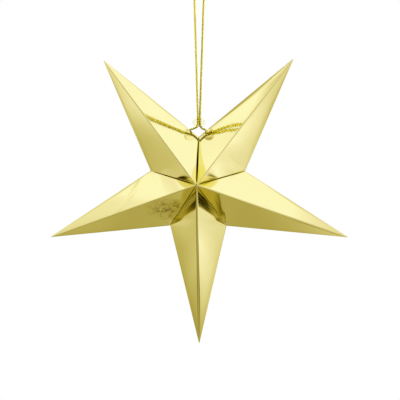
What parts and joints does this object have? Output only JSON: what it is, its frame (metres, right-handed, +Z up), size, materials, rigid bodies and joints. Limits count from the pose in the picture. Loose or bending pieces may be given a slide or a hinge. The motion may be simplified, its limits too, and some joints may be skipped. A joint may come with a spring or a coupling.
{
  "type": "hanging paper star",
  "caption": "Folded foil card star with long pointed arms, deep front and back, hung by a twisted cord loop drawn through a clear bead.",
  "frame": {"origin": "the point inside the top of the cord loop that bears on the hook", "axes": "+X across the star to its viewer's right, +Y from its front to its back, +Z up along the hanging cord"},
  "size_m": [0.3, 0.114, 0.3597],
  "materials": {
    "foil_card": "mirror-bright pale gold foil outside, white card inside",
    "metallic_cord": "twisted cord wound with gold metallic thread",
    "clear_bead": "clear, polished"
  },
  "bodies": {
    "root": {"arm_top_left": "foil_card", "arm_top_right": "foil_card", "arm_right": "foil_card", "arm_bottom": "foil_card", "arm_left": "foil_card", "hanging_cord": "metallic_cord", "bead": "clear_bead"}
  },
  "joints": []
}
